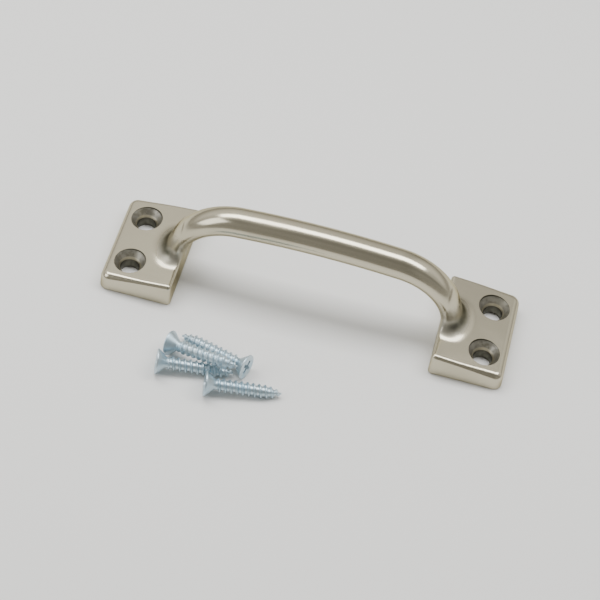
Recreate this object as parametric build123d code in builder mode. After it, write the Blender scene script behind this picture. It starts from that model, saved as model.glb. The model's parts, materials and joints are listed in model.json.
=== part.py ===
"""Sash lift handle with its four loose flat-head wood screws, in millimetres.

The handle lies on its two feet, as it would on a bench. The origin is the centre of the
four-hole pattern, on the plane of the undersides of the feet. +X runs along the bar and
+Z is up, away from the sash. The screws lie loose on the bench in front of the left foot.
"""
import os
from math import asin, atan2, cos, degrees, radians, sin, sqrt, tan

from build123d import *

os.makedirs("parts", exist_ok=True)

# ---- feet ----
handle_length = 121.5
foot_length = 21.8
foot_width = 33.0
foot_inner_height = 7.7
foot_outer_height = 5.6
foot_draft = 2.5
foot_corner_radius = 2.6
foot_top_round = 1.4
foot_base_break = 0.3

# ---- screw holes ----
hole_pitch_x = 107.0
hole_pitch_y = 17.2
hole_diameter = 5.6
countersink_diameter = 9.4
countersink_angle = 82.0
countersink_wall = 0.4

# ---- bar ----
bar_height = 26.1
bar_width = 9.2
bar_thickness = 8.4
leg_thickness = 5.6
crown_radius = 270.0
crown_half_span = 24.0
shoulder_radius = 19.5
leg_angle = 87.0
leg_buried = 3.0
flare_radius = 3.8
flare_neck_radius = 4.5
flare_buried = 2.0
flare_x = 39.8
foot_flush_x = 39.25

# ---- screws ----
screw_length = 22.2
screw_head_diameter = 7.4
screw_head_angle = 82.0
screw_head_land = 0.35
thread_diameter = 4.0
thread_root_diameter = 2.9
thread_pitch = 1.69
thread_flank_angle = 60.0
thread_crest = 0.2
point_length = 5.0
point_radius = 0.1
recess_span = 4.2
recess_slot = 0.95
recess_depth = 2.3
recess_floor_radius = 0.9

# Where each loose screw lies: its head's middle on the bench, the heading of its point, and how
# far its axis falls from head to point. Three rest on the rim of the head and on the thread. The
# crossing screw rests on the rim of its head and lies over the point of the left one.
resting_tilt = 5.72
crossing_tilt = -11.0
screw_places = {
    "front_screw": (-21.1, -42.5, 12.0, resting_tilt),
    "left_screw": (-36.25, -39.35, 11.0, resting_tilt),
    "back_screw": (-11.15, -33.5, 161.8, resting_tilt),
    "crossing_screw": (-34.5, -31.95, -13.4, crossing_tilt),
}

foot_inner_x = handle_length / 2 - foot_length
foot_slope = degrees(atan2(foot_inner_height - foot_outer_height, foot_length))


def foot_top_height(x):
    """Height of the sloping top face of a foot, x millimetres from the middle."""
    return foot_inner_height - (x - foot_inner_x) * tan(radians(foot_slope))


def oval_plane(x, z, angle):
    """Plane across the bar at (x, z), where the bar falls outwards at the given angle."""
    return Plane(
        origin=(x, 0, z),
        x_dir=(0, 1, 0),
        z_dir=(cos(radians(angle)), 0, -sin(radians(angle))),
    )


# ---- handle: both feet and the bar, one casting ----
with BuildPart() as foot:
    with BuildSketch():
        with Locations(((handle_length - foot_length) / 2, 0)):
            RectangleRounded(foot_length, foot_width, foot_corner_radius)
    extrude(amount=foot_inner_height + 2, taper=foot_draft)
    top_plane = Plane(
        origin=(foot_inner_x, 0, foot_inner_height),
        z_dir=(sin(radians(foot_slope)), 0, cos(radians(foot_slope))),
    )
    split(bisect_by=top_plane, keep=Keep.BOTTOM)
    fillet(foot.faces().sort_by(Axis.Z)[-1].edges(), foot_top_round)
    chamfer(foot.faces().sort_by(Axis.Z)[0].edges(), foot_base_break)

crown_angle = degrees(asin(crown_half_span / crown_radius))
crown_end = (crown_half_span, bar_height - crown_radius * (1 - cos(radians(crown_angle))))

# The bar is an oval, bowed along the crown. Each leg turns down from it, thins towards its foot
# and ends inside the foot.
with BuildPart() as bar:
    with BuildLine(Plane.XZ) as crown_path:
        CenterArc((0, bar_height - crown_radius), crown_radius, 90 - crown_angle, 2 * crown_angle)
    with BuildSketch(oval_plane(*crown_end, crown_angle)):
        Ellipse(bar_width / 2, bar_thickness / 2)
    sweep(path=crown_path.wire())

with BuildPart() as leg:
    with BuildLine(Plane.XZ) as leg_path:
        shoulder = JernArc(
            crown_end,
            (cos(radians(crown_angle)), -sin(radians(crown_angle))),
            shoulder_radius,
            crown_angle - leg_angle,
        )
        Line(shoulder @ 1, shoulder @ 1 + shoulder % 1 * leg_buried)
    leg_foot = leg_path.wire() @ 1
    with BuildSketch(oval_plane(*crown_end, crown_angle)):
        Ellipse(bar_width / 2, bar_thickness / 2)
    with BuildSketch(oval_plane(leg_foot.X, leg_foot.Z, leg_angle)):
        Ellipse(bar_width / 2, leg_thickness / 2)
    sweep(path=leg_path.wire(), multisection=True)

# The leg stands in a turned trumpet, square to the sloping face, with a ball on top that fills
# the turn of the leg, and a flat towards the opening, flush with the foot.
flare_rim = flare_neck_radius + flare_radius
flare_plane = Plane(
    origin=(flare_x, 0, foot_top_height(flare_x)),
    x_dir=(cos(radians(foot_slope)), 0, -sin(radians(foot_slope))),
    z_dir=(0, -1, 0),
)
with BuildPart() as flare:
    with BuildSketch(flare_plane):
        with BuildLine():
            axis_line = Line((0, flare_rim), (0, -flare_buried))
            floor_line = Line(axis_line @ 1, (flare_rim, -flare_buried))
            wall = Line(floor_line @ 1, (flare_rim, 0))
            RadiusArc(wall @ 1, (flare_neck_radius, flare_radius), flare_radius)
            RadiusArc((flare_neck_radius, flare_radius), axis_line @ 0, -flare_neck_radius)
        make_face()
    revolve(axis=Axis(flare_plane.origin, flare_plane.y_dir))
    split(bisect_by=Plane(origin=(foot_flush_x, 0, 0), z_dir=(1, 0, 0)), keep=Keep.TOP)

with BuildPart() as handle:
    add(foot.part)
    add(flare.part)
    add(leg.part)
    mirror(about=Plane.YZ)
    add(bar.part)
    sink_height = foot_top_height(hole_pitch_x / 2) - countersink_wall
    with Locations((0, 0, sink_height)):
        with GridLocations(hole_pitch_x, hole_pitch_y, 2, 2):
            CounterSinkHole(hole_diameter / 2, countersink_diameter / 2, 2 * sink_height, countersink_angle)

handle.part.label = "handle"
export_step(handle.part, "parts/handle.step")


# ---- screws ----
def crest_radius(along):
    """Outer radius of the thread, the given way from the head's face; it tapers in the point."""
    into_point = max(0, along - (screw_length - point_length)) / point_length
    return thread_diameter / 2 * sqrt(max(0, 1 - into_point**2)) * (1 - 0.3 * into_point)


def core_radius(along):
    """Radius of the core under the thread, the given way from the head's face."""
    into_point = max(0, along - (screw_length - point_length)) / point_length
    return point_radius + (thread_root_diameter / 2 - point_radius) * (1 - into_point)


def screw_outline():
    """Half outline of a screw, from the middle of its head to its point."""
    head_radius = screw_head_diameter / 2
    cone_length = (head_radius - core_radius(0)) / tan(radians(screw_head_angle / 2))
    outline = [(0, 0), (0, head_radius), (screw_head_land, head_radius)]
    outline.append((screw_head_land + cone_length, core_radius(0)))
    along = screw_head_land + cone_length + thread_pitch / 2
    while along < screw_length - thread_pitch / 2:
        height = crest_radius(along) - core_radius(along)
        foot_half = thread_crest / 2 + height * tan(radians(thread_flank_angle / 2))
        outline.append((along - foot_half, core_radius(along - foot_half)))
        outline.append((along - thread_crest / 2, crest_radius(along)))
        outline.append((along + thread_crest / 2, crest_radius(along)))
        outline.append((along + foot_half, core_radius(along + foot_half)))
        along += thread_pitch
    outline.append((screw_length, point_radius))
    outline.append((screw_length, 0))
    return outline


def lying_planes(x, y, heading, tilt):
    """Two planes of a lying screw: one through its axis, and its head's face, looking inwards."""
    turned = radians(heading)
    fall = radians(tilt)
    axis = (cos(turned) * cos(fall), sin(turned) * cos(fall), -sin(fall))
    rim_height = screw_head_diameter / 2 * cos(fall) + screw_head_land * max(0, sin(fall))
    centre = (x, y, rim_height)
    through_axis = Plane(origin=centre, x_dir=axis, z_dir=(sin(turned), -cos(turned), 0))
    head_face = Plane(origin=centre, x_dir=(-sin(turned), cos(turned), 0), z_dir=axis)
    return through_axis, head_face


for name, place in screw_places.items():
    through_axis, head_face = lying_planes(*place)
    with BuildPart(head_face) as recess:
        Cone(
            recess_span / 2,
            recess_floor_radius,
            recess_depth,
            align=(Align.CENTER, Align.CENTER, Align.MIN),
        )
        with BuildSketch(head_face):
            Rectangle(recess_span, recess_slot)
            Rectangle(recess_slot, recess_span)
        extrude(amount=recess_depth, mode=Mode.INTERSECT)
    with BuildPart() as screw:
        with BuildSketch(through_axis):
            with BuildLine():
                Polyline(*screw_outline(), close=True)
            make_face()
        revolve(axis=Axis(through_axis.origin, through_axis.x_dir))
        add(recess.part, mode=Mode.SUBTRACT)
    screw.part.label = name
    export_step(screw.part, f"parts/{name}.step")
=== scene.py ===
"""Sash lift handle and its loose wood screws, laid out as an add-on around a fixed frame.

The handle is one polished casting. It is meshed from a rounded solid written as a formula, and
its screw holes are then cut. The screws are turned, threaded and recessed as meshes of their own.
"""
import json

import bmesh
import bpy
import numpy as np
from bpy.props import FloatProperty, FloatVectorProperty, IntProperty, PointerProperty
from mathutils import Matrix, Vector


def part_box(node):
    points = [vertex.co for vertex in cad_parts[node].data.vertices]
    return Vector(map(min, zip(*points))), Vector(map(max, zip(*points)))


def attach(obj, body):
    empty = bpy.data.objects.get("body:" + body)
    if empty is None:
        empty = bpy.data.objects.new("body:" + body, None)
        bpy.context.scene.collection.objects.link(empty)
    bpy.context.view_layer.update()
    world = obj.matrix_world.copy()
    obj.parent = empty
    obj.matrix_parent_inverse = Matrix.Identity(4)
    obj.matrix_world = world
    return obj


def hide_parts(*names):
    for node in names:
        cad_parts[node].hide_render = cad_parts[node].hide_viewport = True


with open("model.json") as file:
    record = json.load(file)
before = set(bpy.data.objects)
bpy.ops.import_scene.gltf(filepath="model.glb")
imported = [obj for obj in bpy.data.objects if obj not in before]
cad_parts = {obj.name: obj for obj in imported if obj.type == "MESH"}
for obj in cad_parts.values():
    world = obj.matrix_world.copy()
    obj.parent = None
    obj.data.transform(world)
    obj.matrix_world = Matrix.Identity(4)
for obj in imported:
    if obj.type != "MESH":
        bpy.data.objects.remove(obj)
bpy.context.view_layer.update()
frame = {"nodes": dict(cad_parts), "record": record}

bl_info = {
    "name": "Sash Lift Handle",
    "version": (1, 0, 0),
    "blender": (4, 5, 0),
    "location": "3D View > Sidebar > Sash Lift",
    "description": "Builds a polished sash lift handle with its loose wood screws",
    "category": "Add Mesh",
}

SCREW_NODES = ("left_screw", "crossing_screw", "back_screw", "front_screw")
MM = 0.001

# Edges sharper than this are creases, in degrees
CASTING_CREASE = 34
SCREW_CREASE = 40

# Faces around a drill, and rows of points to one turn of a thread
DRILL_SIDES = 96
THREAD_ROWS = 16

# How each screw is turned about its own axis: the first one, and each one more, in degrees
FIRST_SPIN = 25
NEXT_SPIN = 61

# How fine the unevenness of each finish is, in waves per metre
PATCH_WAVES = 55.0
MARK_WAVES = 900.0
NICKEL_GRAIN_WAVES = 2600.0
ROOT_WAVES = 420.0
BLOTCH_WAVES = 700.0
FILM_WAVES = 260.0
ZINC_GRAIN_WAVES = 3200.0

# Greatest depth of the relief of any finish
RELIEF = 0.1 * MM

# Rings that the drill left in the screw holes, in radians per metre across and down
RINGS_ACROSS = 21000.0
RINGS_DOWN = 17000.0

handle_low, handle_high = (Vector(corner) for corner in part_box("handle"))
HOLES = frame["record"]["mounts"][0]["dims"]


# ---------------------------------------------------------------- sizes and colours


def length(name, description, default):
    """A length property, given in metres."""
    return FloatProperty(
        name=name, description=description, default=default, min=0, unit="LENGTH", precision=5
    )


def turn(name, description, default):
    """An angle property, given in degrees."""
    return FloatProperty(
        name=name, description=description, default=np.radians(default), subtype="ANGLE"
    )


def colour(name, description, default):
    """A colour property."""
    return FloatVectorProperty(
        name=name, description=description, default=default, size=3, min=0, max=1, subtype="COLOR"
    )


def share(name, description, default):
    """A plain number between 0 and 1."""
    return FloatProperty(
        name=name, description=description, default=default, min=0, max=1, subtype="FACTOR"
    )


class HandleSizes(bpy.types.PropertyGroup):
    """Sizes of the casting."""

    overall: length("Length", "Overall length of the handle", handle_high.x - handle_low.x)
    width: length("Width", "Width of a foot across the handle", handle_high.y - handle_low.y)
    height: length("Height", "Height of the top of the bar", handle_high.z)
    foot: length("Foot", "Length of a foot along the handle", 21.8 * MM)
    foot_inner: length("Foot inner height", "Height of a foot at its inner edge", 7.7 * MM)
    foot_outer: length("Foot outer height", "Height of a foot at its outer edge", 5.6 * MM)
    foot_corner: length("Foot corner", "Radius of a foot's upright corners", 2.6 * MM)
    inner_round: length("Inner top edge", "Radius of a foot's top edge, inner end", 1.15 * MM)
    outer_round: length("Outer top edge", "Radius of a foot's top edge, outer end", 2.0 * MM)
    foot_draft: turn("Draft", "Draft of a foot's sides", 2.5)
    inner_draft: turn("Inner draft", "Draft of a foot's inner face", 1.2)
    bar_width: length("Bar width", "Width of the bar's oval", 9.2 * MM)
    bar_thickness: length("Bar thickness", "Thickness of the bar's oval", 8.4 * MM)
    leg_thickness: length("Leg thickness", "Thickness of the bar at its feet", 5.5 * MM)
    crown_radius: length("Crown radius", "Radius of the bar's long bow", 270 * MM)
    crown_span: length("Crown half span", "Half the length of the long bow", 24 * MM)
    shoulder_radius: length("Shoulder radius", "Radius of the bar's shoulders", 19.5 * MM)
    leg_turn: turn("Leg angle", "How steeply a leg stands in its foot", 87)
    leg_buried: length("Leg end", "Straight end of a leg inside its foot", 3 * MM)
    base_round: length("Base edge", "Radius of the edge around a foot's underside", 0.35 * MM)
    leg_crease: length("Leg crease", "Fillet where a leg crosses a foot's inner edge", 0.3 * MM)
    root_fillet: length("Root fillet", "Fillet between a leg and its foot", 4.8 * MM)
    sink_diameter: length("Countersink", "Diameter of a countersink", 9.4 * MM)
    sink_wall: length("Countersink wall", "Depth of the wall above the cone", 0.4 * MM)
    sink_turn: turn("Countersink angle", "Included angle of a countersink", 82)
    sink_lip: length("Countersink lip", "Chamfer between a countersink and its hole", 0.32 * MM)
    grain: length("Mesh size", "Size of the mesh's faces", 0.3 * MM)


class HandleFinish(bpy.types.PropertyGroup):
    """Finish of the casting, with the colours of its painted shade and painted highlight."""

    plate: colour("Plate", "Colour of the nickel plate", (0.54, 0.50, 0.385))
    shade: colour("Shade", "Colour of the plate where it is duller", (0.46, 0.425, 0.32))
    # Also painted on the lips of the screw holes as a highlight
    edge: colour("Edge", "Tint of the plate where it is seen edge-on", (0.58, 0.54, 0.42))
    # Partly the duller, less polished plate around the roots of the legs, partly painted shade
    # there
    root: colour("Root", "Colour of the plate around the roots of the legs", (0.43, 0.415, 0.355))
    # Near-black painted shade, laid into the turn of the roots and into the holes' drilled bores
    # and the walls above their cones
    painted_shade: colour("Crevice", "Colour of the plate in the turn of the roots", (0.09, 0.09, 0.068))
    bore: colour("Bore", "Colour of the plate inside the screw holes", (0.40, 0.385, 0.335))
    grime: colour("Grime", "Colour of the dullest parts of the screw holes", (0.24, 0.23, 0.195))
    rough: share("Roughness", "Roughness of the polished plate", 0.2)
    brush: share("Brush marks", "Strength of the fine polishing marks", 0.25)


class ScrewSizes(bpy.types.PropertyGroup):
    """Sizes of a screw."""

    long: length("Length", "Overall length of a screw", 22.2 * MM)
    head: length("Head", "Diameter of the head", 7.4 * MM)
    head_turn: turn("Head angle", "Included angle under the head", 82)
    land: length("Head land", "Height of the head's rim", 0.35 * MM)
    thread: length("Thread", "Diameter over the thread", 4.0 * MM)
    core: length("Core", "Diameter of the core", 2.9 * MM)
    pitch: length("Pitch", "Distance from one turn of the thread to the next", 1.69 * MM)
    point: length("Point", "Length of the gimlet point", 5.0 * MM)
    recess: length("Recess", "Width of the cross recess", 4.2 * MM)
    slot: length("Recess slot", "Width of one slot of the recess", 0.95 * MM)
    depth: length("Recess depth", "Depth of the recess", 2.3 * MM)
    sides: IntProperty(name="Sides", description="Faces around a screw", default=48, min=12)


class ScrewFinish(bpy.types.PropertyGroup):
    """Finish of the screws."""

    zinc: colour("Zinc", "Colour of the zinc plate", (0.54, 0.64, 0.69))
    tint: colour("Tint", "Tint of the passivated film", (0.44, 0.58, 0.67))
    rough: share("Roughness", "Roughness of the zinc plate", 0.42)


class StageSettings(bpy.types.PropertyGroup):
    """Floor, light and camera."""

    floor: colour("Floor colour", "Colour of the floor", (0.80, 0.80, 0.785))
    elevation: turn("Elevation", "Height of the camera above the floor", 51.24)
    azimuth: turn("Azimuth", "Swing of the camera towards the right foot", 5.89)
    roll: turn("Roll", "Roll of the camera about its own axis", 9.85)
    distance: length("Distance", "Distance from the camera to the origin", 0.5439)
    lens: FloatProperty(name="Lens", description="Focal length in millimetres", default=109.66)
    shift_x: FloatProperty(name="Shift across", description="Lens shift across", default=-0.0177)
    shift_y: FloatProperty(name="Shift up", description="Lens shift upwards", default=-0.0046)
    floor_half: length("Floor half", "Half the length of a side of the floor", 1.5)
    key: FloatProperty(name="Key light", description="Power of the overhead light", default=5.0)
    fill: FloatProperty(name="Fill light", description="Power of the side light", default=1.5)
    sky: FloatProperty(name="Surround", description="Strength of the surround", default=1.12)


# ---------------------------------------------------------------- shader expressions


class Shade:
    """A number held by a node's output socket; arithmetic on it adds Math nodes."""

    def __init__(self, tree, socket):
        self.tree = tree
        self.socket = socket

    def sum(self, operation, *others, clamp=False):
        """The result of one Math node, with this number as its first input."""
        settings = {"operation": operation, "use_clamp": clamp}
        sockets = dict(enumerate((self, *others)))
        return self.tree.add("ShaderNodeMath", settings, sockets).value()

    def __add__(self, other):
        return self.sum("ADD", other)

    __radd__ = __add__

    def __sub__(self, other):
        return self.sum("SUBTRACT", other)

    def __rsub__(self, other):
        return (self * -1) + other

    def __mul__(self, other):
        return self.sum("MULTIPLY", other)

    __rmul__ = __mul__

    def clamped(self):
        """This number, kept between 0 and 1."""
        return self.sum("ADD", 0.0, clamp=True)

    def band(self, low, high):
        """0 below low, 1 above high and a smooth rise between them."""
        settings = {"interpolation_type": "SMOOTHSTEP"}
        sockets = {"Value": self, "From Min": low, "From Max": high}
        return self.tree.add("ShaderNodeMapRange", settings, sockets).value("Result")


class Added:
    """A node that was added to a tree, with its sockets by name or number."""

    def __init__(self, tree, node):
        self.tree = tree
        self.node = node

    def value(self, name=0):
        """One output, as a number to calculate with."""
        return Shade(self.tree, self.node.outputs[name])


class Tree:
    """The nodes of one material or world."""

    def __init__(self, owner):
        owner.use_nodes = True
        self.nodes = owner.node_tree.nodes
        self.links = owner.node_tree.links
        self.nodes.clear()

    def add(self, kind, settings=None, sockets=None):
        """Adds a node, makes its settings, and then sets or links its input sockets."""
        node = self.nodes.new(kind)
        for name, setting in (settings or {}).items():
            if name == "stops":
                self.set_stops(node.color_ramp.elements, setting)
            else:
                setattr(node, name, setting)
        for name, given in (sockets or {}).items():
            if isinstance(given, Shade):
                self.links.new(given.socket, node.inputs[name])
            else:
                node.inputs[name].default_value = given
        return Added(self, node)

    @staticmethod
    def set_stops(elements, stops):
        """Sets a colour ramp's stops, each a place and a colour."""
        while len(elements) < len(stops):
            elements.new(1.0)
        for element, (place, shade) in zip(elements, stops):
            element.position = place
            element.color = shade

    def mix_colour(self, factor, first, second):
        """One colour or the other, or between them, by a number from 0 to 1."""
        settings = {"data_type": "RGBA"}
        sockets = {0: factor, 6: first, 7: second}
        return self.add("ShaderNodeMix", settings, sockets).value(2)

    def noise(self, place, scale, detail=2.0, stretch=(1, 1, 1)):
        """Soft noise of the given scale, stretched along some directions."""
        spread = self.add(
            "ShaderNodeVectorMath", {"operation": "MULTIPLY"}, {0: place, 1: stretch}
        ).value()
        sockets = {"Vector": spread, "Scale": scale, "Detail": detail}
        return self.add("ShaderNodeTexNoise", {}, sockets).value(0)

    def metal(self, base, rough, relief, strength, more=None):
        """Closes a material as bare metal, with a fine relief on its surface."""
        sockets = {"Strength": strength, "Distance": RELIEF, "Height": relief}
        bump = self.add("ShaderNodeBump", {}, sockets).value("Normal")
        sockets = {"Base Color": base, "Metallic": 1.0, "Roughness": rough, "Normal": bump}
        shader = self.add("ShaderNodeBsdfPrincipled", {}, sockets | (more or {}))
        self.add("ShaderNodeOutputMaterial", {}, {"Surface": shader.value()})


def rgba(shade):
    """A colour with full cover."""
    return (*shade, 1.0)


def nickel_plate(finish, sizes):
    """Polished nickel plate: warm, dulled in patches, rougher and duller where no polishing wheel
    reaches, with painted shade around the roots of the legs that is deepest in their turn.
    """
    material = bpy.data.materials.new("polished_nickel")
    tree = Tree(material)
    place = tree.add("ShaderNodeTexCoord").value("Object")
    parts = tree.add("ShaderNodeSeparateXYZ", {}, {0: place})
    facing = tree.add("ShaderNodeNewGeometry").value("Normal")
    faced = tree.add("ShaderNodeSeparateXYZ", {}, {0: facing})
    up = faced.value("Z")
    outwards = faced.value("X") * parts.value("X").sum("SIGN")
    patches = tree.noise(place, PATCH_WAVES, 3.0).band(0.42, 0.68)
    along_bar = (0.12, 1.0, 1.0)
    marks = tree.noise(place, MARK_WAVES, 3.0, along_bar)
    grain = tree.noise(place, NICKEL_GRAIN_WAVES, 2.0)

    # Around the roots of the legs: close to the leg's middle, above the foot's top and not far up
    # the leg.
    # The plate there is rougher and duller, out of reach of the polishing wheel, and also carries
    # painted shade
    root_x = sizes.overall / 2 - sizes.foot + sizes.leg_thickness / 2
    across = parts.value("X").sum("ABSOLUTE") - root_x
    back = parts.value("Y")
    from_leg = (across * across + back * back).sum("SQRT")
    near = 1 - from_leg.band(sizes.root_fillet + 1.5 * MM, sizes.root_fillet + 4.5 * MM)
    above = parts.value("Z").band(sizes.foot_inner - 0.6 * MM, sizes.foot_inner + 0.4 * MM)
    on_leg = 1 - parts.value("Z").band(sizes.foot_inner + 4 * MM, sizes.foot_inner + 10 * MM)
    rooted = near * above * on_leg

    # Painted shade in the turn itself, where the surface is neither upright nor flat, mostly on the
    # side towards the handle's end
    low = 1 - parts.value("Z").band(sizes.foot_inner + 1.8 * MM, sizes.foot_inner + 3.8 * MM)
    turning = up.band(0.05, 0.35) * (1 - up.band(0.62, 0.9))
    uneven = tree.noise(place, ROOT_WAVES, 3.0) * 0.8 + 0.55
    outer_side = outwards.band(-0.1, 0.55) * 0.8 + 0.2
    painted_turn_shade = (rooted * low * turning * uneven * outer_side).clamped()

    polished = tree.mix_colour(patches * 0.5, rgba(finish.plate), rgba(finish.shade))
    # Duller plate mixed with painted shade around the roots
    with_dull_and_shaded_root = tree.mix_colour(rooted * 0.7, polished, rgba(finish.root))
    # Painted shade laid into the turn of the roots
    base = tree.mix_colour(painted_turn_shade * 0.95, with_dull_and_shaded_root, rgba(finish.painted_shade))
    rough = patches * 0.06 + marks * 0.06 + rooted * 0.17 + (finish.rough - 0.05)
    relief = marks * finish.brush + grain * 0.2
    tree.metal(base, rough, relief, 0.12, {"Specular Tint": rgba(finish.edge)})
    return material


def bored_nickel(finish, sizes):
    """Plate inside the screw holes: dull, with drill rings, a painted highlight on the lip, and
    painted shade in the drilled bore and on the wall above the cone.
    """
    material = bpy.data.materials.new("bored_nickel")
    tree = Tree(material)
    place = tree.add("ShaderNodeTexCoord").value("Object")
    parts = tree.add("ShaderNodeSeparateXYZ", {}, {0: place})
    across = parts.value("X").sum("ABSOLUTE") - HOLES["spacing_x_mm"] / 2 * MM
    back = parts.value("Y").sum("ABSOLUTE") - HOLES["spacing_y_mm"] / 2 * MM
    out = (across * across + back * back).sum("SQRT")
    rings = (out * RINGS_ACROSS + parts.value("Z") * RINGS_DOWN).sum("SINE") * 0.5 + 0.5
    blotch = tree.noise(place, BLOTCH_WAVES, 3.0).band(0.35, 0.7)
    drill = HOLES["hole_r_mm"] * MM
    rim = sizes.sink_diameter / 2
    # Masks for the painted highlight on the lip, and for the painted shade in the drilled bore and
    # on the wall above the cone
    past_drill = out.band(drill + 0.03 * MM, drill + 0.1 * MM)
    past_lip = out.band(drill + 0.4 * MM, drill + 0.6 * MM)
    lip = past_drill * (1 - past_lip)
    shaft_painted_shade = 1 - out.band(drill + 0.01 * MM, drill + 0.05 * MM)
    wall = out.band(rim - 0.12 * MM, rim - 0.03 * MM)
    cone = tree.mix_colour(blotch, rgba(finish.bore), rgba(finish.grime))
    # Painted highlight on the lip, then painted shade in the bore and on the wall
    cone_with_painted_lip_highlight = tree.mix_colour(lip * 0.9, cone, rgba(finish.edge))
    base = tree.mix_colour((shaft_painted_shade + wall).clamped() * 0.8, cone_with_painted_lip_highlight, rgba(finish.painted_shade))
    rough = blotch * 0.12 + rings * 0.05 + 0.3
    tree.metal(base, rough, rings, 0.25)
    return material


def zinc_plate(finish):
    """Bright zinc plate with its bluish film, a little uneven from the barrel it is plated in."""
    material = bpy.data.materials.new("bright_zinc")
    tree = Tree(material)
    place = tree.add("ShaderNodeTexCoord").value("Object")
    film = tree.noise(place, FILM_WAVES, 3.0).band(0.35, 0.7)
    grain = tree.noise(place, ZINC_GRAIN_WAVES, 3.0)
    base = tree.mix_colour(film, rgba(finish.zinc), rgba(finish.tint))
    rough = film * 0.08 + grain * 0.08 + (finish.rough - 0.08)
    tree.metal(base, rough, grain, 0.15)
    return material


# ---------------------------------------------------------------- the casting as a formula


def round_meet(first, second, radius):
    """Distance to the part that two solids share, with their common edge rounded."""
    over_first = np.maximum(first + radius, 0)
    over_second = np.maximum(second + radius, 0)
    return np.minimum(np.maximum(first, second), -radius) + np.hypot(over_first, over_second)


def fillet_join(first, second, radius):
    """Distance to two solids joined by a fillet; the radius may differ from point to point."""
    under_first = np.maximum(radius - first, 0)
    under_second = np.maximum(radius - second, 0)
    return np.maximum(np.minimum(first, second), radius) - np.hypot(under_first, under_second)


def smooth_rise(value, low, high):
    """0 below low, 1 above high and a smooth rise between them."""
    share_of_way = np.clip((value - low) / (high - low), 0, 1)
    return share_of_way * share_of_way * (3 - 2 * share_of_way)


def foot_top(sizes, x):
    """Height of a foot's sloping top, x from the middle."""
    inner_x = sizes.overall / 2 - sizes.foot
    return sizes.foot_inner - (x - inner_x) * (sizes.foot_inner - sizes.foot_outer) / sizes.foot


def foot_distance(sizes, x, y, z):
    """Distance to a foot that has no inner end yet; x is measured outwards from the middle."""
    lean = np.tan(sizes.foot_draft)
    corner = sizes.foot_corner
    side_x = x - (sizes.overall / 2 - corner) + z * lean
    side_y = np.abs(y) - (sizes.width / 2 - corner) + z * lean
    outside = np.hypot(np.maximum(side_x, 0), np.maximum(side_y, 0))
    sides = outside + np.minimum(np.maximum(side_x, side_y), 0) - corner
    slope = (sizes.foot_inner - sizes.foot_outer) / sizes.foot
    top = (z - foot_top(sizes, x)) / np.sqrt(1 + slope * slope)
    outwards = smooth_rise(x, sizes.overall / 2 - 0.7 * sizes.foot, sizes.overall / 2)
    edge = sizes.inner_round + (sizes.outer_round - sizes.inner_round) * outwards
    return round_meet(sides * np.cos(sizes.foot_draft), top, edge)


def bar_stations(sizes):
    """The bar's centre line from crown to foot: its pieces, their starts and their thinning."""
    crown = np.arcsin(sizes.crown_span / sizes.crown_radius)
    shoulder = sizes.shoulder_radius * (sizes.leg_turn - crown)
    thinned = shoulder / (shoulder + sizes.leg_buried)
    steep = sizes.leg_turn
    pieces = (
        ("arc", sizes.crown_radius, 0.0, crown, 0.0, 0.0),
        ("arc", sizes.shoulder_radius, crown, steep, 0.0, thinned),
        ("straight", sizes.leg_buried, steep, steep, thinned, 1.0),
    )
    x, z = 0.0, sizes.height - sizes.bar_thickness / 2
    stations = []
    for kind, size, start, end, thin_start, thin_end in pieces:
        stations.append((kind, size, start, end, x, z, thin_start, thin_end))
        if kind == "arc":
            x += size * (np.sin(end) - np.sin(start))
            z -= size * (np.cos(start) - np.cos(end))
    return stations


def bar_distance(sizes, x, y, z):
    """Distance to the bar; x is measured outwards from the middle."""
    best = np.full(x.shape, np.inf)
    offset, past, thinned = np.zeros(x.shape), np.zeros(x.shape), np.zeros(x.shape)
    for kind, size, start, end, from_x, from_z, thin_start, thin_end in bar_stations(sizes):
        if kind == "arc":
            centre_x = from_x - size * np.sin(start)
            centre_z = from_z - size * np.cos(start)
            held = np.clip(np.arctan2(x - centre_x, z - centre_z), start, end)
            way = (held - start) / (end - start)
            near_x = centre_x + size * np.sin(held)
            near_z = centre_z + size * np.cos(held)
            normal_x, normal_z = np.sin(held), np.cos(held)
        else:
            along = (x - from_x) * np.cos(start) - (z - from_z) * np.sin(start)
            way = np.clip(along / size, 0, 1)
            near_x = from_x + way * size * np.cos(start)
            near_z = from_z - way * size * np.sin(start)
            normal_x, normal_z = np.sin(start), np.cos(start)
        gap = np.hypot(x - near_x, z - near_z)
        nearer = gap < best
        side = (x - near_x) * normal_x + (z - near_z) * normal_z
        beyond = np.sqrt(np.maximum(gap**2 - side**2, 0))
        best = np.where(nearer, gap, best)
        offset = np.where(nearer, side, offset)
        past = np.where(nearer, beyond, past)
        thinned = np.where(nearer, thin_start + way * (thin_end - thin_start), thinned)
    half_width = sizes.bar_width / 2
    thinner = (sizes.leg_thickness - sizes.bar_thickness) * thinned
    half_thickness = (sizes.bar_thickness + thinner) / 2
    scaled = np.hypot(offset / half_thickness, y / half_width)
    steepness = np.hypot(offset / half_thickness**2, y / half_width**2)
    around = scaled * (scaled - 1) / np.maximum(steepness, 1e-9)
    beyond_end = np.hypot(np.maximum(around, 0), past)
    return np.where((past > 1e-7) & (x > 1e-6), beyond_end, around)


def handle_distance(sizes, points):
    """Distance from points to the surface of the casting, before its holes are drilled."""
    x = np.abs(points[:, 0])
    y, z = points[:, 1], points[:, 2]
    inner_x = sizes.overall / 2 - sizes.foot + z * np.tan(sizes.inner_draft)
    bar = bar_distance(sizes, x, y, z)
    foot_and_root = fillet_join(foot_distance(sizes, x, y, z), bar, sizes.root_fillet)
    flush = round_meet(foot_and_root, inner_x - x, sizes.inner_round)
    standing = round_meet(flush, -z, sizes.base_round)
    return fillet_join(standing, bar, sizes.leg_crease)


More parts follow.
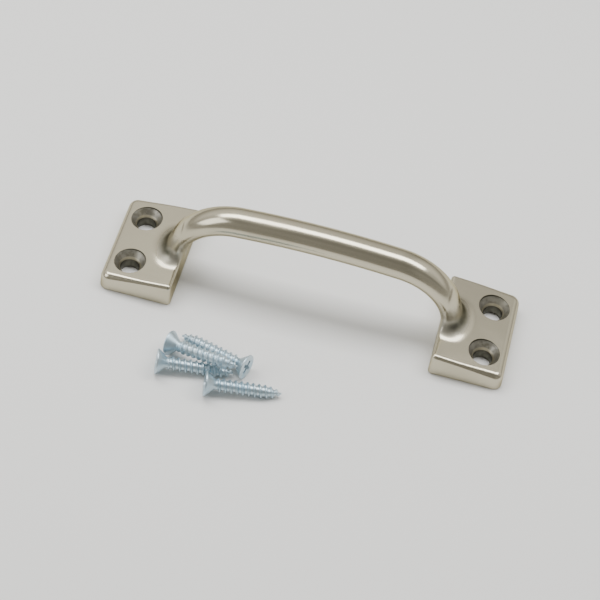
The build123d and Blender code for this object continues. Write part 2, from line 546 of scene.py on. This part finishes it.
def settle(sizes, points, rounds):
    """Moves points onto the surface of the casting, along its own slope."""
    step = 0.01 * MM
    least_slope = 0.5
    for _ in range(rounds):
        here = handle_distance(sizes, points)
        slope = np.empty_like(points)
        for axis in range(3):
            nudge = np.zeros(3)
            nudge[axis] = step
            ahead = handle_distance(sizes, points + nudge)
            behind = handle_distance(sizes, points - nudge)
            slope[:, axis] = (ahead - behind) / (2 * step)
        size = np.maximum((slope**2).sum(axis=1), least_slope**2)
        points = points - slope * (here / size)[:, None]
    return points


# ---------------------------------------------------------------- mesh helpers


def new_piece(name, mesh):
    """A new object in the scene, with the given mesh."""
    piece = bpy.data.objects.new(name, mesh)
    bpy.context.scene.collection.objects.link(piece)
    return piece


def mesh_from(name, points, faces):
    """A mesh from points and faces."""
    mesh = bpy.data.meshes.new(name)
    mesh.from_pydata([tuple(p) for p in points], [], faces)
    mesh.update()
    return mesh


def apply_modifiers(piece):
    """Makes the result of an object's modifiers its own mesh."""
    graph = bpy.context.evaluated_depsgraph_get()
    mesh = bpy.data.meshes.new_from_object(piece.evaluated_get(graph))
    piece.modifiers.clear()
    piece.data = mesh


def turned_rings(outline, sides):
    """Points and faces of a closed solid turned about +X, from (along, radius) pairs."""
    points, faces = [], []
    turns = np.arange(sides) * 2 * np.pi / sides
    for along, radius in outline:
        points += [(along, radius * np.cos(t), radius * np.sin(t)) for t in turns]
    for ring in range(len(outline) - 1):
        for side in range(sides):
            other = (side + 1) % sides
            a, b = ring * sides + side, ring * sides + other
            faces.append((a, a + sides, b + sides, b))
    faces.append(tuple(range(sides)))
    last = (len(outline) - 1) * sides
    faces.append(tuple(last + side for side in reversed(range(sides))))
    return points, faces


def mark_edges(mesh, degrees):
    """Shades a mesh smooth, with creases where faces meet at more than the given angle."""
    mesh.shade_smooth()
    mesh.set_sharp_from_angle(angle=np.radians(degrees))


def cut(piece, cutter):
    """Cuts one closed solid out of another and removes the cutter."""
    modifier = piece.modifiers.new("cut", "BOOLEAN")
    modifier.operation = "DIFFERENCE"
    modifier.solver = "EXACT"
    modifier.object = cutter
    apply_modifiers(piece)
    bpy.data.objects.remove(cutter)


# ---------------------------------------------------------------- the casting


def mirrored(field, axis):
    """A field from the middle outwards, with its mirror image before it."""
    other = np.flip(field, axis)
    return np.concatenate([np.delete(other, -1, axis), field], axis)


def casting_field(sizes):
    """Distances to the casting on an even grid, and the grid's lines along each axis."""
    grain = sizes.grain
    xs = np.arange(int(sizes.overall / 2 / grain) + 3) * grain
    ys = np.arange(int(sizes.width / 2 / grain) + 3) * grain
    zs = (np.arange(int(sizes.height / grain) + 4) - 1.5) * grain
    places = np.stack(np.meshgrid(xs, ys, zs, indexing="ij"), axis=-1).reshape(-1, 3)
    quarter = handle_distance(sizes, places).reshape(len(xs), len(ys), len(zs))
    field = mirrored(mirrored(quarter, 0), 1)
    return field, (np.r_[-xs[:0:-1], xs], np.r_[-ys[:0:-1], ys], zs)


def skin_of(field, lines):
    """Points and four-sided faces of the surface where a field on a grid is zero."""
    inside = field < 0
    cells = tuple(n - 1 for n in field.shape)
    total, count = np.zeros((*cells, 3)), np.zeros(cells)
    corners = [(i, j, k) for i in (0, 1) for j in (0, 1) for k in (0, 1)]

    def block(values, corner):
        return values[tuple(slice(c, c + n) for c, n in zip(corner, cells))]

    for axis in range(3):
        for corner in corners:
            if corner[axis]:
                continue
            other = tuple(c + (a == axis) for a, c in enumerate(corner))
            first, second = block(field, corner), block(field, other)
            crossed = block(inside, corner) != block(inside, other)
            way = np.where(crossed, first / np.where(crossed, first - second, 1), 0)
            for a in range(3):
                total[..., a] += np.where(crossed, way if a == axis else corner[a], 0)
            count += crossed
    used = count > 0
    number = np.full(cells, -1)
    number[used] = np.arange(used.sum())
    place = np.argwhere(used) + total[used] / count[used][:, None]
    step = np.array([line[1] - line[0] for line in lines])
    points = np.array([line[0] for line in lines]) + place * step

    faces = []
    for axis in range(3):
        one, two = (axis + 1) % 3, (axis + 2) % 3
        low = [slice(1, n) for n in cells]
        low[axis] = slice(0, cells[axis])
        high = list(low)
        high[axis] = slice(1, cells[axis] + 1)
        first, second = inside[tuple(low)], inside[tuple(high)]
        for leaving in (True, False):
            found = np.argwhere((first != second) & (first == leaving))
            found[:, one] += 1
            found[:, two] += 1
            ring = []
            for back_one, back_two in ((1, 1), (0, 1), (0, 0), (1, 0)):
                cell = found.copy()
                cell[:, one] -= back_one
                cell[:, two] -= back_two
                ring.append(number[tuple(cell.T)])
            faces.append(np.stack(ring if leaving else ring[::-1], axis=1))
    return points, np.concatenate(faces)


def casting_mesh(sizes):
    """The casting as a mesh of even faces, with its points settled on its surface."""
    points, faces = skin_of(*casting_field(sizes))
    edges = np.concatenate([faces[:, [0, 1]], faces[:, [1, 2]], faces[:, [2, 3]], faces[:, [3, 0]]])
    count = np.bincount(edges.ravel(), minlength=len(points))[:, None]
    points = settle(sizes, points, 3)
    evening_rounds = 3
    for _ in range(evening_rounds):
        total = np.zeros_like(points)
        np.add.at(total, edges[:, 0], points[edges[:, 1]])
        np.add.at(total, edges[:, 1], points[edges[:, 0]])
        points = settle(sizes, 0.5 * points + 0.5 * total / count, 2)
    return mesh_from("casting", points, faces.tolist())


def hole_cutter(sizes):
    """Four drills with their countersinks, as one solid, standing upright."""
    hole_x, hole_y = HOLES["spacing_x_mm"] / 2 * MM, HOLES["spacing_y_mm"] / 2 * MM
    drill = HOLES["hole_r_mm"] * MM
    rim = sizes.sink_diameter / 2
    wall_foot = foot_top(sizes, hole_x) - sizes.sink_wall
    cone_foot = wall_foot - (rim - drill) / np.tan(sizes.sink_turn / 2)
    lip = sizes.sink_lip
    outline = [
        (-MM, drill),
        (cone_foot - lip, drill),
        (cone_foot + 0.6 * lip, drill + lip),
        (wall_foot, rim),
        (foot_top(sizes, 0) + MM, rim),
    ]
    drill_points, drill_faces = turned_rings(outline, DRILL_SIDES)
    points, faces = [], []
    for x in (-hole_x, hole_x):
        for y in (-hole_y, hole_y):
            start = len(points)
            points += [(x - across, y + back, up) for up, across, back in drill_points]
            faces += [tuple(start + i for i in face) for face in drill_faces]
    cutter = new_piece("drills", mesh_from("drills", points, faces))
    outward(cutter.data)
    return cutter


def mark_bores(mesh, sizes):
    """Gives the drilled faces the finish of the bores."""
    middles = np.empty(len(mesh.polygons) * 3, np.float32)
    mesh.polygons.foreach_get("center", middles)
    middles = np.abs(middles.reshape(-1, 3))
    across = middles[:, 0] - HOLES["spacing_x_mm"] / 2 * MM
    back = middles[:, 1] - HOLES["spacing_y_mm"] / 2 * MM
    bored = np.hypot(across, back) < sizes.sink_diameter / 2 + 0.01 * MM
    mesh.polygons.foreach_set("material_index", bored.astype(np.int32))


def outward(mesh):
    """Turns all faces of a closed mesh outwards."""
    work = bmesh.new()
    work.from_mesh(mesh)
    bmesh.ops.recalc_face_normals(work, faces=work.faces)
    work.to_mesh(mesh)
    work.free()


class SASHLIFT_OT_handle(bpy.types.Operator):
    """Build the handle: one casting with two feet, a bowed bar and four countersunk holes"""

    bl_idname = "sash_lift.handle"
    bl_label = "Build Handle"

    def execute(self, context):
        sizes = context.scene.sash_lift_handle
        piece = new_piece("handle_casting", casting_mesh(sizes))
        cut(piece, hole_cutter(sizes))
        mark_edges(piece.data, CASTING_CREASE)
        piece.data.materials.clear()
        piece.data.materials.append(nickel_plate(context.scene.sash_lift_plate, sizes))
        piece.data.materials.append(bored_nickel(context.scene.sash_lift_plate, sizes))
        mark_bores(piece.data, sizes)
        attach(piece, "handle")
        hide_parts("handle")
        return {"FINISHED"}


# ---------------------------------------------------------------- the screws


def lie_of(node):
    """Where a CAD screw lies: a matrix whose +X runs from the middle of its head to its point."""
    mesh = frame["nodes"][node].data
    points = np.array([v.co[:] for v in mesh.vertices])
    centres = np.array([p.center[:] for p in mesh.polygons])
    areas = np.array([p.area for p in mesh.polygons])
    middle = (centres * areas[:, None]).sum(axis=0) / areas.sum()
    spread = ((centres - middle) * areas[:, None]).T @ (centres - middle)
    axis = np.linalg.eigh(spread)[1][:, -1]
    along = (points - middle) @ axis
    from_axis = np.linalg.norm(points - middle - np.outer(along, axis), axis=1)
    if along[from_axis.argmax()] > 0:
        axis, along = -axis, -along
    start = Vector(middle + axis * along.min())
    ahead = Vector(axis)
    side = Vector((0, 0, 1)).cross(ahead).normalized()
    turned = Matrix((ahead, side, ahead.cross(side))).transposed().to_4x4()
    return Matrix.Translation(start) @ turned


def thread_shape(sizes, along, phase):
    """Radius of the threaded shank, by the way from the head and the place in the turn."""
    tip, crest_half, flank_width, run_in = 0.08 * MM, 0.1 * MM, 0.42 * MM, 1.2 * MM
    into_point = np.clip((along - (sizes.long - sizes.point)) / sizes.point, 0, 1)
    core = tip + (sizes.core / 2 - tip) * (1 - into_point**1.5)
    crest = sizes.thread / 2 * np.sqrt(1 - into_point**2) * (1 - 0.3 * into_point)
    from_head = along - (sizes.land + (sizes.head - sizes.core) / 2 / np.tan(sizes.head_turn / 2))
    start = smooth_rise(from_head, -run_in / 6, run_in)
    height = np.maximum(crest - core, 0) * start
    away = np.abs(phase) * sizes.pitch
    flank = 1 - np.clip((away - crest_half) / flank_width, 0, 1)
    return core + height * flank


def threaded_shank(sizes, sides, steps):
    """Points and faces of the core and its thread, with rows that follow the thread's helix."""
    cone = (sizes.head - sizes.core) / 2 / np.tan(sizes.head_turn / 2)
    first = sizes.land + cone - 0.15 * MM
    last = sizes.long
    rows = int(np.ceil((last - first) / sizes.pitch + 1)) * steps
    points = []
    for row in range(-steps, rows + 1):
        phase = (row % steps) / steps
        phase = phase if phase <= 0.5 else phase - 1
        for side in range(sides):
            along = first + sizes.pitch * (row / steps + side / sides)
            held = min(max(along, first), last)
            in_thread = first < along < last
            radius = float(thread_shape(sizes, held, phase if in_thread else 0.5))
            angle = 2 * np.pi * side / sides
            points.append((held, radius * np.cos(angle), radius * np.sin(angle)))
    faces = []
    count = rows + steps + 1
    for row in range(count - 1):
        for side in range(sides):
            a = row * sides + side
            if side + 1 < sides:
                faces.append((a, a + sides, a + sides + 1, a + 1))
            elif row + steps + 1 < count:
                b = (row + steps) * sides
                faces.append((a, a + sides, b + sides, b))
    return points, faces


def recess_cutter(sizes):
    """The cross recess, tapering to its floor, as a solid ahead of the head's face."""
    deep, half = sizes.depth, sizes.recess / 2
    slot = sizes.slot / 2
    points, faces = [], []
    rings = (
        (-0.4 * MM, half * 1.08, slot * 1.04),
        (0.0, half, slot),
        (deep * 0.75, half * 0.46, slot * 0.85),
        (deep, 0.55 * MM, 0.3 * MM),
    )
    for along, reach, wide in rings:
        for quarter in range(4):
            turn_by = quarter * np.pi / 2
            for out, across in ((wide, -wide), (reach, -wide), (reach, wide)):
                y = out * np.cos(turn_by) - across * np.sin(turn_by)
                z = out * np.sin(turn_by) + across * np.cos(turn_by)
                points.append((along, y, z))
    around = 12
    for ring in range(len(rings) - 1):
        for i in range(around):
            a, b = ring * around + i, ring * around + (i + 1) % around
            faces.append((a, b, b + around, a + around))
    faces.append(tuple(reversed(range(around))))
    last = (len(rings) - 1) * around
    faces.append(tuple(last + i for i in range(around)))
    return points, faces


def screw_mesh(sizes):
    """One screw along +X from the middle of its head: head, threaded shank and cross recess."""
    head_radius, core = sizes.head / 2, sizes.core / 2
    slope = np.tan(sizes.head_turn / 2)
    cone = (head_radius - core) / slope
    soft = 0.08 * MM
    outline = [
        (0.0, head_radius - 0.55 * MM),
        (0.0, head_radius - soft * 1.5),
        (soft * 0.4, head_radius - soft * 0.4),
        (soft * 1.5, head_radius),
        (sizes.land - soft, head_radius),
        (sizes.land, head_radius - soft * 0.3),
        (sizes.land + soft, head_radius - soft * 1.2 * slope),
        (sizes.land + cone * 0.5, (head_radius + core) / 2),
        (sizes.land + cone - 0.3 * MM, core + 0.3 * MM * slope),
        (sizes.land + cone - 0.05 * MM, core + 0.1 * MM * slope),
        (sizes.land + cone + 0.2 * MM, core * 0.99),
        (sizes.land + cone + 0.6 * MM, core * 0.8),
    ]
    head = new_piece("screw_head", mesh_from("screw_head", *turned_rings(outline, sizes.sides)))
    outward(head.data)
    cutter = new_piece("recess", mesh_from("recess", *recess_cutter(sizes)))
    outward(cutter.data)
    cut(head, cutter)

    shank = mesh_from("shank", *threaded_shank(sizes, sizes.sides, THREAD_ROWS))
    work = bmesh.new()
    work.from_mesh(shank)
    bmesh.ops.remove_doubles(work, verts=work.verts, dist=0.004 * MM)
    bmesh.ops.dissolve_degenerate(work, edges=work.edges, dist=0.002 * MM)
    bmesh.ops.holes_fill(work, edges=[e for e in work.edges if e.is_boundary], sides=0)
    bmesh.ops.recalc_face_normals(work, faces=work.faces)
    work.from_mesh(head.data)
    mesh = bpy.data.meshes.new("wood_screw")
    work.to_mesh(mesh)
    work.free()
    bpy.data.objects.remove(head)
    mark_edges(mesh, SCREW_CREASE)
    return mesh


class SASHLIFT_OT_screws(bpy.types.Operator):
    """Build the loose flat-head wood screws where the frame's screws lie"""

    bl_idname = "sash_lift.screws"
    bl_label = "Build Screws"

    def execute(self, context):
        mesh = screw_mesh(context.scene.sash_lift_screw)
        mesh.materials.append(zinc_plate(context.scene.sash_lift_zinc))
        for count, node in enumerate(SCREW_NODES):
            lying = mesh.copy()
            spin = Matrix.Rotation(np.radians(FIRST_SPIN + NEXT_SPIN * count), 4, "X")
            lying.transform(lie_of(node) @ spin)
            piece = new_piece(f"wood_{node}", lying)
            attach(piece, node)
            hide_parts(node)
        return {"FINISHED"}


# ---------------------------------------------------------------- floor, light and camera


def add_light(name, size, power, place):
    """A soft rectangular light that looks at the middle of the floor."""
    data = bpy.data.lights.new(name, "AREA")
    data.shape = "RECTANGLE"
    data.size, data.size_y = size
    data.energy = power
    light = bpy.data.objects.new(name, data)
    light.location = place
    light.rotation_euler = (-Vector(place)).to_track_quat("-Z", "Y").to_euler()
    bpy.context.scene.collection.objects.link(light)


# Sides and place of each light, in metres
OVERHEAD = ((1.0, 0.22), (0, 0.13, 0.55))
SIDE = ((0.4, 0.4), (-0.55, -0.25, 0.40))

# Tints of the surround: of its light, of its horizon, and of the darker part on the right
WARM = (1.0, 0.985, 0.94)
HORIZON = (0.40, 0.39, 0.365)
DARK_SIDE = (0.17, 0.165, 0.15)

# How bright the surround is, by how far it leans from the back, over the top, to the front
SKY = (
    (0.0, 0.50),
    (0.10, 0.72),
    (0.16, 0.86),
    (0.22, 0.94),
    (0.31, 0.94),
    (0.38, 0.74),
    (0.45, 0.64),
    (0.54, 0.60),
    (0.59, 0.27),
    (0.68, 0.29),
    (0.735, 0.36),
    (1.0, 0.33),
)


def surround(settings):
    """A pale surround, bright from the back to overhead and darker towards the front and right."""
    world = bpy.data.worlds.new("studio")
    bpy.context.scene.world = world
    tree = Tree(world)
    place = tree.add("ShaderNodeTexCoord").value("Generated")
    parts = tree.add("ShaderNodeSeparateXYZ", {}, {0: place})
    lean = (parts.value("Y") * -1).sum("ARCTAN2", parts.value("Z")) * (1 / np.pi) + 0.5
    stops = [(start, rgba(level * tint for tint in WARM)) for start, level in SKY]
    strip = tree.add("ShaderNodeValToRGB", {"stops": stops}, {0: lean}).value("Color")
    low = parts.value("Z").band(0.0, 0.35)
    standing = tree.mix_colour(low, rgba(HORIZON), strip)
    right = parts.value("X").band(-0.3, 0.3) * (1 - parts.value("X").band(0.25, 0.55))
    shade = tree.mix_colour(right * 0.45, standing, rgba(DARK_SIDE))
    background = tree.add(
        "ShaderNodeBackground", {}, {"Color": shade, "Strength": settings.sky}
    )
    tree.add("ShaderNodeOutputWorld", {}, {"Surface": background.value()})


def add_camera(settings):
    """The camera, aimed at the origin from its own elevation, azimuth and roll."""
    up_angle, swing, roll = settings.elevation, settings.azimuth, settings.roll
    back = Vector(
        (np.sin(swing) * np.cos(up_angle), -np.cos(swing) * np.cos(up_angle), np.sin(up_angle))
    )
    right = Vector((np.cos(swing), np.sin(swing), 0))
    up = back.cross(right)
    rolled_right = right * np.cos(roll) + up * np.sin(roll)
    rolled_up = back.cross(rolled_right)
    data = bpy.data.cameras.new("camera")
    data.lens = settings.lens
    data.sensor_width = 36
    data.shift_x = settings.shift_x
    data.shift_y = settings.shift_y
    data.clip_start = 0.01
    camera = bpy.data.objects.new("camera", data)
    turned = Matrix((rolled_right, rolled_up, back)).transposed().to_4x4()
    camera.matrix_world = Matrix.Translation(back * settings.distance) @ turned
    bpy.context.scene.collection.objects.link(camera)
    bpy.context.scene.camera = camera


def floor_material(settings):
    """Matt pale floor."""
    material = bpy.data.materials.new("pale_floor")
    tree = Tree(material)
    shader = tree.add(
        "ShaderNodeBsdfPrincipled", {}, {"Base Color": rgba(settings.floor), "Roughness": 0.75}
    )
    tree.add("ShaderNodeOutputMaterial", {}, {"Surface": shader.value()})
    return material


class SASHLIFT_OT_stage(bpy.types.Operator):
    """Build the pale floor, the soft lights and the camera"""

    bl_idname = "sash_lift.stage"
    bl_label = "Build Stage"

    def execute(self, context):
        settings = context.scene.sash_lift_stage
        half = settings.floor_half
        corners = [(-half, -half, 0), (half, -half, 0), (half, half, 0), (-half, half, 0)]
        floor = new_piece("floor", mesh_from("floor", corners, [(0, 1, 2, 3)]))
        floor.data.materials.append(floor_material(settings))
        for name, power, (size, place) in (
            ("overhead", settings.key, OVERHEAD),
            ("side", settings.fill, SIDE),
        ):
            add_light(name, size, power, place)
        surround(settings)
        add_camera(settings)
        return {"FINISHED"}


# ---------------------------------------------------------------- panel and registration

BUILDERS = (SASHLIFT_OT_handle, SASHLIFT_OT_screws, SASHLIFT_OT_stage)
GROUPS = {
    "sash_lift_handle": HandleSizes,
    "sash_lift_plate": HandleFinish,
    "sash_lift_screw": ScrewSizes,
    "sash_lift_zinc": ScrewFinish,
    "sash_lift_stage": StageSettings,
}


class SASHLIFT_PT_panel(bpy.types.Panel):
    """Sizes, finishes and builders of the sash lift"""

    bl_idname = "SASHLIFT_PT_panel"
    bl_label = "Sash Lift"
    bl_space_type = "VIEW_3D"
    bl_region_type = "UI"
    bl_category = "Sash Lift"

    def draw(self, context):
        for builder in BUILDERS:
            self.layout.operator(builder.bl_idname)
        for owner, group in GROUPS.items():
            box = self.layout.box()
            box.label(text=group.__doc__)
            for name in group.__annotations__:
                box.prop(getattr(context.scene, owner), name)


def register():
    """Adds the property groups, the operators and the panel."""
    for owner, group in GROUPS.items():
        bpy.utils.register_class(group)
        setattr(bpy.types.Scene, owner, PointerProperty(type=group))
    for kind in (*BUILDERS, SASHLIFT_PT_panel):
        bpy.utils.register_class(kind)


def unregister():
    """Takes them out again."""
    for kind in (SASHLIFT_PT_panel, *BUILDERS):
        bpy.utils.unregister_class(kind)
    for owner, group in GROUPS.items():
        delattr(bpy.types.Scene, owner)
        bpy.utils.unregister_class(group)


def main():
    """Builds everything."""
    register()
    bpy.ops.sash_lift.handle()
    bpy.ops.sash_lift.screws()
    bpy.ops.sash_lift.stage()


if __name__ == "__main__":
    main()
